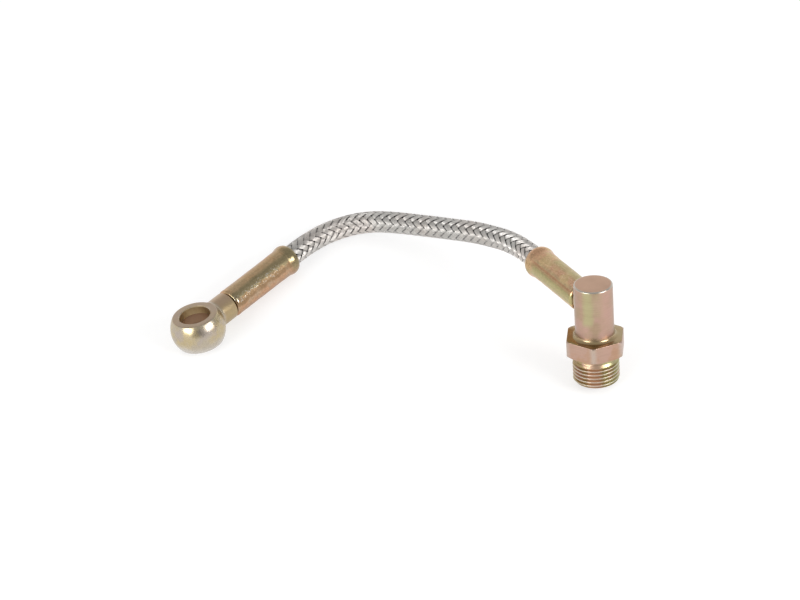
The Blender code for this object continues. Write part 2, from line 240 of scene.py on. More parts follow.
def turned(name, rings, segments, startAngle=0.0, joinEnds=False):
    # A body of rings, each a height and a radius, or a function of the angle that gives the radius
    points = []
    turns = [2 * math.pi * i / segments for i in range(segments)]
    for height, radius in rings:
        for turn in turns:
            r = radius(turn + startAngle) if callable(radius) else radius
            points.append((
                r * math.cos(turn + startAngle), r * math.sin(turn + startAngle), height))
    rows = len(rings)
    faces = []
    for k in range(rows if joinEnds else rows - 1):
        low, high = k * segments, (k + 1) % rows * segments
        for i in range(segments):
            j = (i + 1) % segments
            faces.append((low + i, low + j, high + j, high + i))
    if not joinEnds:
        for row in (0, rows - 1):
            pole = len(points)
            points.append((0, 0, rings[row][0]))
            ring = row * segments
            faces += [(ring + i, ring + (i + 1) % segments, pole) for i in range(segments)]
    return meshObject(name, points, faces)


def arc(centre, radius, start, end, steps):
    # Points (radius, height) of an arc, between two angles in degrees
    angles = [math.radians(start + (end - start) * i / steps) for i in range(steps + 1)]
    return [(centre[0] + radius * math.cos(a), centre[1] + radius * math.sin(a)) for a in angles]


def swapped(profile):
    # Profile points (radius, height) as the rings that turned() takes
    return [(height, radius) for radius, height in profile]


def combine(item, helper, operation):
    step = item.modifiers.new(operation, "BOOLEAN")
    step.operation = operation
    step.solver = "EXACT"
    step.object = helper
    graph = bpy.context.evaluated_depsgraph_get()
    mesh = bpy.data.meshes.new_from_object(item.evaluated_get(graph))
    item.modifiers.remove(step)
    item.data = mesh
    bpy.data.objects.remove(helper, do_unlink=True)


def declare(item, node):
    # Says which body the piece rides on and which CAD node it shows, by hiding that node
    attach(item, "root")
    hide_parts(node)
    print("made", item.name, len(item.data.polygons), "faces")


def finishPiece(item, matrix, material, node, sharpAngle=38):
    # Takes a mesh in mm in its fitting's frame to where the piece lies, in metres
    mesh = item.data
    storePlace(mesh)
    toMetres = Matrix.Scale(mm, 4)
    mesh.transform(toMetres @ matrix)
    mesh.materials.clear()
    mesh.materials.append(material)
    mesh.shade_smooth()
    mesh.set_sharp_from_angle(angle=math.radians(sharpAngle))
    declare(item, node)


# Yellow zinc: a thin film over steel that shifts from tan to gold, green and pink
zincFilm = {
    "tan": (0.46, 0.33, 0.22), "gold": (0.42, 0.32, 0.16), "green": (0.48, 0.45, 0.24),
    "olive": (0.28, 0.23, 0.13), "pink": (0.56, 0.36, 0.29), "orange": (0.50, 0.30, 0.18),
    "silver": (0.62, 0.59, 0.53), "grooveShadeBrown": (0.24, 0.15, 0.09), "rust": (0.34, 0.18, 0.10),
    "copperShade": (0.31, 0.20, 0.11), "moss": (0.34, 0.32, 0.15), "sand": (0.62, 0.40, 0.28),
    "amber": (0.50, 0.36, 0.19), "peachReflection": (0.68, 0.46, 0.33),
}


def bandMask(x, y, z, band, wander):
    # 1 on the side and the stretch of the fitting that a band of film colour lies on
    mask = (towards(x, y, band["heading"]) + wander).between(band["from"], band["to"])
    height = z + wander * 6
    if "above" in band:
        mask = mask * height.between(band["above"] - 1, band["above"] + 1)
    if "below" in band:
        mask = mask * (1 - height.between(band["below"] - 1, band["below"] + 1))
    return mask * band["share"]


def sleeveMaterial(name, look):
    # Rough drawn tube, with lines along it and small marks where the jaws pressed, and painted glints
    # as silver flecks on these marks
    material, nodes, shader = newMaterial(name)
    place, x, y, z = fitPlace(nodes)
    clouds = nodes.noise(place, look["cloudScale"], 3.0)
    wander = (clouds - 0.5) * look["wander"]
    colour = nodes.mix(clouds.between(0.4, 0.6), zincFilm[look["base"]], zincFilm[look["second"]])
    for band in look["bands"]:
        colour = nodes.mix(bandMask(x, y, z, band, wander), colour, zincFilm[band["tint"]])
    lines = nodes.noise(nodes.vector(x * 1.3, y * 1.3, z * 0.05), 4.0, 3.0)
    specks = nodes.noise(nodes.vector(x, y, z * 0.7), 2.6, 3.0)
    pressed = bandMask(x, y, z, look["pressed"], wander)
    # Silver flecks on the pressed band are painted glints, where a lamp's highlight falls
    glintFleck = specks.between(0.53, 0.62) * pressed
    colour = nodes.mix(glintFleck * 0.6, colour, zincFilm["silver"])
    # A line here is a thin dark tint beside a crimp ridge: painted shade along the ridge
    for ridgeShadeLine in look["lines"]:
        edge = bandMask(x, y, z, ridgeShadeLine, wander * 0.02)
        colour = nodes.mix(edge, colour, zincFilm[ridgeShadeLine["tint"]])
    shade = (0.80 + lines * 0.24 + (specks - 0.5) * 0.75) * look["gain"]
    # The rounded end and the lip stayed smooth
    endRound = sleeve["endRound"]
    lipStart = sleeve["length"] - sleeve["lipToMouth"] - sleeve["lipFlare"]
    smooth = 1 - z.between(endRound, endRound + 0.7) * (1 - z.between(lipStart, lipStart + 0.8))
    plug(nodes, shader, "Base Color", nodes.scaled(colour, shade))
    plug(nodes, shader, "Metallic", 1.0)
    rough = look["roughness"] + (clouds - 0.5) * 0.14 - glintFleck * 0.12
    plug(nodes, shader, "Roughness", rough - smooth * 0.14)
    drawn = nodes.bump(lines, 0.5, 0.02 * mm)
    plug(nodes, shader, "Normal", nodes.bump(specks, 0.35 + pressed * 0.5, 0.05 * mm, drawn))
    return material


print("tools ready")


# Camera: it looks down on the line from the front, as in the photo. Its place is in metres
camera = {
    "place": (0.04324, -0.65752, 0.56466), "azimuth": 3.65, "elevation": 40.33, "roll": -5.55,
    "lens": 150, "sensor": 36,
}


def addCamera():
    data = bpy.data.cameras.new("camera")
    data.lens = camera["lens"]
    data.sensor_width = camera["sensor"]
    data.clip_start = 0.01
    item = bpy.data.objects.new("camera", data)
    bpy.context.scene.collection.objects.link(item)
    tilt = math.radians(90 - camera["elevation"])
    turn = Matrix.Rotation(math.radians(camera["azimuth"]), 4, "Z")
    lean = Matrix.Rotation(math.radians(camera["roll"]), 4, "Z")
    matrix = turn @ Matrix.Rotation(tilt, 4, "X") @ lean
    matrix.translation = camera["place"]
    item.matrix_world = matrix
    bpy.context.scene.camera = item


addCamera()


# Braided hose
braid = {
    "carriers": 8,  # bands in each of the two directions
    "wires": 7,  # wires side by side in a band
    "wireDiameter": 0.175,
    "bandShare": 0.77,  # how much of the space between two bands a band fills
    "pitch": 19.0,  # length of hose for one turn of a band
    "topRadius": 2.80,  # middle of the wires where they pass over
    "lift": 0.32,  # how much further in they lie where they pass under
    "steepness": 2.2,  # how abruptly they dive
    "startTurn": 32 / 360,  # turns the whole weave about the hose
    "sides": 5,  # corners of a wire's section
    "stepsPerWave": 12,
}


def smoothPath(knots, steps):
    # Points of a smooth curve through all the knots
    points = []
    for i in range(len(knots) - 1):
        before, start = knots[max(i - 1, 0)], knots[i]
        end, after = knots[i + 1], knots[min(i + 2, len(knots) - 1)]
        for k in range(steps):
            t = k / steps
            points.append(
                start * (2 * t ** 3 - 3 * t ** 2 + 1) + (end - before) / 2 * (t ** 3 - 2 * t ** 2 + t)
                + end * (3 * t ** 2 - 2 * t ** 3) + (after - start) / 2 * (t ** 3 - t ** 2))
    return points + [knots[-1]]


def hosePoints():
    knots = [Vector(point) for point in hose["route"]]
    lead = hose["insideSleeve"]
    first = moved(eyeMouth, -lead).translation
    last = moved(unionMouth, -lead).translation
    return smoothPath([first, *knots, last], hose["stepsPerSpan"])


def pathLength(points):
    return sum((b - a).length for a, b in zip(points, points[1:]))


def pathCurve(name, points):
    data = bpy.data.curves.new(name, "CURVE")
    data.dimensions = "3D"
    spline = data.splines.new("POLY")
    spline.points.add(len(points) - 1)
    for target, point in zip(spline.points, points):
        target.co = (*point, 1)
    item = bpy.data.objects.new(name, data)
    bpy.context.scene.collection.objects.link(item)
    return item


def braidTree():
    # Lays the bands of one direction round a path, each passing over two bands and under two
    tree = bpy.data.node_groups.new("braidStrands", "GeometryNodeTree")
    face = tree.interface
    face.new_socket("Geometry", in_out="INPUT", socket_type="NodeSocketGeometry")
    names = (
        "Direction", "Carriers", "Wires", "Wire Radius", "Band Share", "Pitch", "Top Radius",
        "Lift", "Steepness", "Start Turn")
    for name in names:
        face.new_socket(name, in_out="INPUT", socket_type="NodeSocketFloat")
    for name in ("Count", "Sides"):
        face.new_socket(name, in_out="INPUT", socket_type="NodeSocketInt")
    face.new_socket("Material", in_out="INPUT", socket_type="NodeSocketMaterial")
    face.new_socket("Geometry", in_out="OUTPUT", socket_type="NodeSocketGeometry")
    nodes = NodeTree(tree)
    source = tree.nodes.new("NodeGroupInput")
    size = {socket.name: Value(nodes, socket) for socket in source.outputs if socket.name}

    def keep(geometry, name, kind, entry):
        return nodes.add(
            "GeometryNodeStoreNamedAttribute", {"data_type": kind, "domain": "POINT"},
            {"Geometry": geometry, "Name": name, "Value": entry})

    def kept(name, kind):
        return nodes.add("GeometryNodeInputNamedAttribute", {"data_type": kind}, {"Name": name})

    def vectorMaths(operation, first, second):
        return nodes.add("ShaderNodeVectorMath", {"operation": operation}, [first, second])

    path = nodes.add(
        "GeometryNodeResampleCurve", None, {"Curve": size["Geometry"], "Count": size["Count"]})
    length = nodes.add("GeometryNodeSplineParameter", out="Length")
    normal = nodes.add("GeometryNodeInputNormal")
    tangent = nodes.add("GeometryNodeInputTangent")
    path = keep(path, "along", "FLOAT", length)
    path = keep(path, "out", "FLOAT_VECTOR", normal)
    path = keep(path, "side", "FLOAT_VECTOR", vectorMaths("CROSS_PRODUCT", tangent, normal))
    copies = nodes.add(
        "GeometryNodeDuplicateElements", {"domain": "SPLINE"},
        {"Geometry": path, "Amount": size["Carriers"] * size["Wires"]}, out="Geometry")
    number = Value(nodes, copies.socket.node.outputs["Duplicate Index"])

    carrier = (number / size["Wires"]).floor()
    wire = number - carrier * size["Wires"]
    spread = (wire - (size["Wires"] - 1) * 0.5) / size["Wires"] * size["Band Share"]
    turn = kept("along", "FLOAT") / size["Pitch"] * size["Direction"]
    turn = turn + (carrier + spread) / size["Carriers"] + size["Start Turn"]
    angle = turn * (2 * math.pi)
    crossing = size["Carriers"] * kept("along", "FLOAT") / size["Pitch"] * 2
    crossing = crossing + size["Direction"] * spread
    phase = crossing - 1 + size["Direction"] * 0.5 + carrier * 2
    wave = ((phase * (math.pi / 2)).cos() * size["Steepness"]).clamped(-1, 1)
    radius = size["Top Radius"] + (wave - 1) * size["Lift"] * 0.5
    outwards = nodes.scaled(kept("out", "FLOAT_VECTOR"), angle.cos() * radius)
    sideways = nodes.scaled(kept("side", "FLOAT_VECTOR"), angle.sin() * radius)
    strands = nodes.add(
        "GeometryNodeSetPosition", None,
        {"Geometry": copies, "Offset": vectorMaths("ADD", outwards, sideways)})
    strands = keep(strands, "band", "FLOAT", number)
    # How far each wire dives under, kept for the painted shade that the wire's material puts there
    strands = keep(strands, "dive", "FLOAT", (1 - wave) * 0.5)
    ring = nodes.add(
        "GeometryNodeCurvePrimitiveCircle", {"mode": "RADIUS"},
        {"Resolution": size["Sides"], "Radius": size["Wire Radius"]})
    wires = nodes.add(
        "GeometryNodeCurveToMesh", None,
        {"Curve": strands, "Profile Curve": ring, "Fill Caps": True})
    wires = nodes.add("GeometryNodeRealizeInstances", None, {"Geometry": wires})
    wires = nodes.add(
        "GeometryNodeSetMaterial", None, {"Geometry": wires, "Material": size["Material"]})
    result = tree.nodes.new("NodeGroupOutput")
    tree.links.new(wires.socket, result.inputs[0])
    return tree


def makeStrands(name, tree, direction, points, material):
    item = pathCurve(name + "Path", points)
    waves = pathLength(points) * braid["carriers"] / braid["pitch"] / 2
    sizes = {
        "Direction": direction, "Carriers": braid["carriers"], "Wires": braid["wires"],
        "Wire Radius": braid["wireDiameter"] / 2, "Band Share": braid["bandShare"],
        "Pitch": braid["pitch"], "Top Radius": braid["topRadius"], "Lift": braid["lift"],
        "Steepness": braid["steepness"], "Start Turn": braid["startTurn"],
        "Count": round(waves * braid["stepsPerWave"]), "Sides": braid["sides"], "Material": material,
    }
    modifier = item.modifiers.new("Braid", "NODES")
    modifier.node_group = tree
    for socket in tree.interface.items_tree:
        if socket.in_out == "INPUT" and socket.name in sizes:
            entry = sizes[socket.name]
            isFloat = socket.socket_type == "NodeSocketFloat"
            modifier[socket.identifier] = float(entry) if isFloat else entry
    graph = bpy.context.evaluated_depsgraph_get()
    mesh = bpy.data.meshes.new_from_object(item.evaluated_get(graph))
    bpy.data.objects.remove(item, do_unlink=True)
    strands = bpy.data.objects.new(name, mesh)
    bpy.context.scene.collection.objects.link(strands)
    storePlace(mesh)
    mesh.transform(Matrix.Scale(mm, 4))
    mesh.shade_smooth()
    declare(strands, "wire_braid")
    return strands


def wireMaterial():
    material, nodes, shader = newMaterial("braidWire")
    place = nodes.attribute("fitPlace", "Vector")
    band = nodes.attribute("band")
    scatter = nodes.add("ShaderNodeTexWhiteNoise", {"noise_dimensions": "1D"}, {"W": band.floor()})
    dive = nodes.attribute("dive")
    warmth = nodes.noise(place, 0.10, 1.0).between(0.35, 0.70)
    colour = nodes.mix(warmth, (0.72, 0.70, 0.67), (0.73, 0.68, 0.64))
    streak = nodes.noise(place, 2.2, 3.0)
    # Painted shade: a wire is darkened where it dives under the others
    shade = (0.86 + scatter * 0.10 + streak * 0.16) * (1 - dive * 0.50)
    plug(nodes, shader, "Base Color", nodes.scaled(colour, shade))
    plug(nodes, shader, "Metallic", 1.0)
    plug(nodes, shader, "Roughness", 0.29 + streak * 0.12)
    plug(nodes, shader, "Normal", nodes.bump(nodes.noise(place, 14.0, 2.0), 0.06, 0.02 * mm))
    return material


def makeHose():
    points = hosePoints()
    tree = braidTree()
    material = wireMaterial()
    rightLay = makeStrands("braidRightLay", tree, 1, points, material)
    leftLay = makeStrands("braidLeftLay", tree, -1, points, material)
    visible = smoothPath([Vector(point) for point in hose["route"]], hose["stepsPerSpan"])
    inMetres = [point * mm for point in visible]
    pathLength(inMetres)


makeHose()


# Crimped sleeves
crimp = {
    "start": 2.2, "end": 18.6,  # the stretch that the jaws press
    "waist": 0.05,  # how much thinner they leave it
    "dent": 0.035, "dentScale": 0.8,
    "tooth": 0.01575, "toothScale": 2.6,  # the finer marks
    "ridge": 0.10, "ridgeWidth": 0.20,
    "creaseWidth": 1.1, "creaseLength": 0.22,
}


def softStep(value, low, high):
    t = min(max((value - low) / (high - low), 0), 1)
    return t * t * (3 - 2 * t)


def angleGap(angle, other):
    return abs((angle - other + math.pi) % (2 * math.pi) - math.pi)


def sleeveProfile():
    # Outer points (radius, height) from the end wall to the mouth
    outer, lip = sleeve["diameter"] / 2, sleeve["lipDiameter"] / 2
    endRound = sleeve["endRound"]
    lipAt = sleeve["length"] - sleeve["lipToMouth"]
    flareStart = lipAt - sleeve["lipFlare"]
    rim = sleeve["mouthBore"] / 2 + sleeve["mouthRim"]
    bodySteps, lipSteps = 90, 16
    points = arc((outer - endRound, endRound), endRound, -90, 0, 14)
    for i in range(1, bodySteps):
        points.append((outer, endRound + (flareStart - endRound) * i / bodySteps))
    for i in range(lipSteps + 1):
        share = i / lipSteps
        points.append((
            outer + (lip - outer) * (1 - math.cos(math.pi * share)) / 2,
            flareStart + sleeve["lipFlare"] * share))
    for i in range(1, lipSteps + 1):
        angle = math.radians(90 * i / lipSteps)
        points.append((
            rim + (lip - rim) * math.cos(angle),
            lipAt + sleeve["lipToMouth"] * math.sin(angle)))
    return points


def makeSleeve(name, mouth, look, node, material):
    ridges = [math.radians(angle) for angle in look["ridges"]]
    seed = look["seed"]

    def pressed(radius, height):
        zone = softStep(height, crimp["start"] - 1.2, crimp["start"])
        zone *= 1 - softStep(height, crimp["end"] - 1.5, crimp["end"] + 0.5)

        def at(angle):
            spot = Vector((math.cos(angle) * 2.2, math.sin(angle) * 2.2, height * 0.55 + seed))
            press = noise.noise(spot * crimp["dentScale"]) * crimp["dent"] - crimp["waist"]
            tooth = noise.noise(spot * crimp["toothScale"]) * crimp["tooth"]
            ridge = sum(
                math.exp(-(angleGap(angle, place) * radius / crimp["ridgeWidth"]) ** 2)
                for place in ridges) * crimp["ridge"]
            crease = 0
            for creaseAngle, creaseHeight, depth in look["creases"]:
                across = angleGap(angle, math.radians(creaseAngle)) * radius / crimp["creaseWidth"]
                along = (height - creaseHeight) / crimp["creaseLength"]
                crease -= depth * math.exp(-across ** 2 - along ** 2)
            return radius + zone * (press + tooth + ridge) + crease
        return at

    rings = [(height, pressed(radius, height)) for radius, height in sleeveProfile()]
    mouthBore, bore, hole = (sleeve[key] / 2 for key in ("mouthBore", "bore", "hole"))
    length = sleeve["length"]
    # The mouth's inner edge is rounded, and its bore widens behind a short collar
    rings += [
        (length - 0.04, mouthBore + 0.16), (length - 0.14, mouthBore + 0.04),
        (length - 0.30, mouthBore), (length - 1.2, mouthBore), (length - 1.6, bore),
        (sleeve["endWall"], bore), (sleeve["endWall"], hole), (0, hole)]
    item = turned(name, rings, sleeve["segments"], joinEnds=True)
    finishPiece(item, moved(mouth, -length), material, node)


eyeSleeve = {
    "ridges": [110, -70], "seed": 3.0,
    "creases": [(20, 20.6, 0.03), (75, 20.8, 0.03)],
    "film": {
        "base": "tan", "second": "orange", "cloudScale": 0.32, "wander": 0.16, "roughness": 0.38,
        "gain": 1.08,
        "bands": [
            # The olive band at heading 50 and the copper band at 74 lie where a lamp's highlight
            # falls: partly the film's tints, partly painted shade
            {"tint": "amber", "heading": 12, "from": 0.80, "to": 0.97, "share": 0.6},
            {"tint": "olive", "heading": 50, "from": 0.86, "to": 0.97, "share": 0.95},
            {"tint": "copperShade", "heading": 74, "from": 0.95, "to": 0.99, "share": 0.9},
            {"tint": "rust", "heading": 145, "from": 0.75, "to": 0.97, "share": 0.4},
            {"tint": "olive", "heading": 60, "from": 0.3, "to": 0.9, "share": 0.95, "above": 21.2},
        ],
        "pressed": {"heading": 58, "from": 0.955, "to": 0.995, "share": 1.0, "below": 17.5},
        "lines": [],
    },
}
unionSleeve = {
    "ridges": [-62, 118], "seed": 11.0,
    "creases": [(-20, 20.0, 0.05), (-12, 20.7, 0.05), (-25, 21.3, 0.04), (60, 20.5, 0.04)],
    "film": {
        "base": "amber", "second": "orange", "cloudScale": 0.26, "wander": 0.25, "roughness": 0.38,
        "gain": 1.28,
        "bands": [
            {"tint": "olive", "heading": -62, "from": 0.90, "to": 0.985, "share": 0.6},
            {"tint": "moss", "heading": -88, "from": 0.86, "to": 0.96, "share": 0.75},
            {"tint": "moss", "heading": 18, "from": 0.82, "to": 0.98, "share": 0.6, "below": 15},
            {"tint": "pink", "heading": 62, "from": 0.88, "to": 1.0, "share": 0.6},
            {"tint": "orange", "heading": -38, "from": 0.2, "to": 0.7, "share": 0.6, "above": 20},
        ],
        "pressed": {"heading": -20, "from": 0.9, "to": 1.0, "share": 0.25, "below": 17.5},
        "lines": [
            # Dark rust lines either side of the crimp ridge at -62: painted shade along it
            {"tint": "rust", "heading": -57, "from": 0.995, "to": 0.9995, "share": 0.8,
             "below": 20.5},
            {"tint": "rust", "heading": -66, "from": 0.996, "to": 0.9995, "share": 0.5,
             "below": 20.5},
        ],
    },
}
makeSleeve(
    "eyeSleeve", eyeMouth, eyeSleeve, "eye_sleeve",
    sleeveMaterial("eyeSleeveZinc", eyeSleeve["film"]))
makeSleeve(
    "unionSleeve", unionMouth, unionSleeve, "union_sleeve",
    sleeveMaterial("unionSleeveZinc", unionSleeve["film"]))


# Banjo eye
eye = {
    "diameter": 14.4, "width": 8.3, "bore": 8.2, "boreChamfer": 0.25, "edgeRound": 0.45,
    "groove": 9.8, "grooveWidth": 3.6, "neck": 7.5, "neckFillet": 1.2, "toSleeve": 11.7,
    "neckEdge": 0.30, "neckRoot": (3.3, 5.4),  # radius and height of the neck's start in the ball
    "clearance": 0.3, "segments": 160,
    "hook": 4.2, "collar": 5.8, "collarStart": 1.3, "collarLength": 1.0,
    "tail": 2.6, "tailLength": 17.0, "tailRib": 0.18, "ribPitch": 3.0, "drill": 1.5,
    "film": {
        "ball": (0.46, 0.40, 0.31), "yellow": (0.50, 0.41, 0.25), "mauve": (0.43, 0.37, 0.34),
        "pale": (0.56, 0.53, 0.50), "face": (0.45, 0.34, 0.25), "neck": (0.41, 0.31, 0.17),
        "land": (0.60, 0.47, 0.28), "groove": (0.32, 0.20, 0.13),
        "neckStart": 5.8, "neckEnd": 7.4,  # where the ball's colours turn into the neck's
    },
}


def eyeRing():
    # The ball, turned about its bore: bored, grooved, faced and broken at its edges
    ball, half, bore = eye["diameter"] / 2, eye["width"] / 2, eye["bore"] / 2
    groove, halfGroove = eye["groove"] / 2, eye["grooveWidth"] / 2
    soft, chamfer = eye["edgeRound"], eye["boreChamfer"]
    points = [
        (bore + chamfer, half), (bore, half - chamfer), (bore, halfGroove + 0.12),
        (bore + 0.1, halfGroove), (groove - 0.15, halfGroove), (groove, halfGroove - 0.15)]
    points += [(r, -h) for r, h in reversed(points)]
    # The rounded edge touches the flat face and the ball
    centreHeight = half - soft
    centreRadius = math.sqrt((ball - soft) ** 2 - centreHeight ** 2)
    touch = math.degrees(math.atan2(centreHeight, centreRadius))
    points += arc((centreRadius, -centreHeight), soft, -90, -touch, 6)
    points += arc((0, 0), ball, -touch, touch, 44)[1:-1]
    points += arc((centreRadius, centreHeight), soft, touch, 90, 6)
    return turned("eyeRing", swapped(points), eye["segments"], joinEnds=True)


def eyeNeck():
    neck, ball, fillet = eye["neck"] / 2, eye["diameter"] / 2, eye["neckFillet"]
    sink = 0.03
    meet = math.degrees(math.acos((neck + fillet) / (ball + fillet)))
    centre = (neck + fillet, (ball + fillet) * math.sin(math.radians(meet)) - sink)
    shoulder = eye["toSleeve"] - eye["clearance"]
    edge = eye["neckEdge"]
    points = [eye["neckRoot"]] + arc(centre, fillet, 180 + meet, 180, 14)
    points += arc((neck - edge, shoulder - edge), edge, 0, 90, 6)
    points += tailProfile(eye["toSleeve"], shoulder)
    return turned("eyeNeck", swapped(points), 96)


def tailProfile(start, shoulder):
    # Hook neck, collar and ribbed tail, inside the sleeve and the hose
    hook, collar, tail, rib = eye["hook"] / 2, eye["collar"] / 2, eye["tail"] / 2, eye["tailRib"]
    collarStart = start + eye["collarStart"]
    collarEnd = collarStart + eye["collarLength"]
    points = [(hook, shoulder), (hook, collarStart), (collar, collarStart), (collar, collarEnd)]
    points.append((tail, collarEnd))
    for i in range(int(eye["tailLength"] / eye["ribPitch"]) - 1):
        foot = collarEnd + (i + 1) * eye["ribPitch"]
        points += [(tail, foot), (tail - rib, foot + 2 * rib)]
    points.append((tail - rib, collarEnd + eye["tailLength"]))
    return points


def eyeMaterial():
    material, nodes, shader = newMaterial("eyeZinc")
    place, x, y, z = fitPlace(nodes)
    clouds = nodes.noise(place, 0.24, 2.0)
    fine = nodes.noise(place, 1.8, 4.0)
    film = eye["film"]
    colour = nodes.mix(clouds.between(0.40, 0.60), film["ball"], film["yellow"])
    mauve = nodes.noise(nodes.vector(x + 9, y, z), 0.32, 2.0).between(0.50, 0.64)
    colour = nodes.mix(mauve * 0.55, colour, film["mauve"])
    # The ball's lower side is made paler: a painted reflection of the white floor
    paintedFloorReflection = (0 - x + (clouds - 0.5) * 5).between(0.5, 4.2)
    colour = nodes.mix(paintedFloorReflection * 0.85, colour, film["pale"])
    halfWidth = eye["width"] / 2
    flat = x.between(halfWidth - 0.15, halfWidth - 0.03)
    colour = nodes.mix(flat * 0.8, colour, film["face"])
    neck = (z + (clouds - 0.5) * 1.5).between(film["neckStart"], film["neckEnd"])
    neckColour = nodes.mix(towards(x, y, -10).between(0.3, 0.9), film["neck"], zincFilm["tan"])
    colour = nodes.mix(neck * 0.9, colour, neckColour)
    # Bore: darker in its groove than on the lands beside it
    fromAxis = (y * y + z * z).root()
    depth = (x * x).root()
    groove, halfGroove = eye["groove"] / 2, eye["grooveWidth"] / 2
    inside = 1 - depth.between(halfWidth - 0.3, halfWidth - 0.12)
    inside = inside * (1 - fromAxis.between(groove + 0.2, groove + 0.4))
    grooved = 1 - depth.between(halfGroove - 0.05, halfGroove + 0.05)
    colour = nodes.mix(inside, colour, nodes.mix(grooved, film["land"], film["groove"]))
    plug(nodes, shader, "Base Color", nodes.scaled(colour, 0.86 + fine * 0.28))
    plug(nodes, shader, "Metallic", 1.0)
    dull = 0.27 + neck * 0.08 + flat * 0.12 + inside * 0.12
    plug(nodes, shader, "Roughness", dull + (fine - 0.5) * 0.16)
    marks = nodes.noise(nodes.vector(x * 0.05, y * 0.05, z), 6.0, 3.0)
    tooled = nodes.bump(marks * neck, 0.4, 0.02 * mm)
    plug(nodes, shader, "Normal", nodes.bump(fine, 0.22, 0.03 * mm, tooled))
    return material


def makeEye():
    item = eyeRing()
    # The ring is turned about Z, and the bore's axis is X
    item.data.transform(Matrix.Rotation(math.radians(90), 4, "Y"))
    combine(item, eyeNeck(), "UNION")
    end = eye["toSleeve"] + eye["collarStart"] + eye["collarLength"] + eye["tailLength"] + 1
    drill = turned("drill", [(eye["bore"] / 4, eye["drill"] / 2), (end, eye["drill"] / 2)], 24)
    combine(item, drill, "DIFFERENCE")
    place = moved(eyeMouth, -sleeve["length"] - eye["toSleeve"])
    finishPiece(item, place, eyeMaterial(), "banjo_eye", 30)


makeEye()


# Threaded union
union = {
    "threadDiameter": 11.85, "pitch": 1.0, "threadDepth": 0.541, "threadLength": 6.6,
    "threadChamfer": 0.7, "threadFoot": 0.05, "runOut": 1.1, "threadSteps": 165,
    "threadRise": (0.20, 0.58), "threadFall": (0.67, 1.04),  # the ridge's two sides, in pitches
    "undercutLength": 1.5, "undercutDepth": 0.65, "undercutFillet": 0.4,
    "hexAcrossFlats": 14.0, "hexHeight": 4.5, "hexTopChamfer": 0.25, "hexFootChamfer": 0.5,
    "hexTurn": 27.5, "hexEdge": 0.12, "hexCornerCut": 0.05,
    "postDiameter": 9.9, "postHeight": 14.4, "postFillet": 1.0, "postEdge": 0.38,
    "recessDiameter": 7.0, "recessDepth": 6.5, "recessChamfer": 0.25, "bore": 4.5,
    "branchHeight": 20.8, "postToSleeve": 0.35, "clearance": 0.3,
    "seatDiameter": 7.2, "socketDiameter": 5.0, "flangeLength": 1.4, "segments": 180,
    # Radii between which a tint sets in, outwards, and the height where the thread's tints end
    "cornerTint": (7.40, 8.05), "postRimWearAndHighlight": (4.4, 4.7), "grooveShade": (5.42, 5.66),
    "crestHighlight": (5.76, 5.90), "runOutTint": (5.2, 5.8),
    "bands": [
        {"tint": "green", "heading": 133, "from": 0.93, "to": 1.0, "share": 0.8, "above": 17.5},
        {"tint": "green", "heading": 165, "from": 0.94, "to": 1.0, "share": 0.3, "above": 20},
        {"tint": "pink", "heading": 192, "from": 0.80, "to": 1.0, "share": 0.6},
        {"tint": "silver", "heading": 245, "from": 0.93, "to": 1.0, "share": 0.5},
        {"tint": "silver", "heading": 66, "from": 0.95, "to": 1.0, "share": 0.3},
    ],
}


def threadRadius(angle, height):
    # One ridge of trapezoid section climbs the shank, right-handed
    outer = union["threadDiameter"] / 2
    root = outer - union["threadDepth"]
    phase = (height / union["pitch"] - angle / (2 * math.pi)) % 1
    crest = min(softStep(phase, *union["threadRise"]), 1 - softStep(phase, *union["threadFall"]))
    return root + (outer - root) * crest


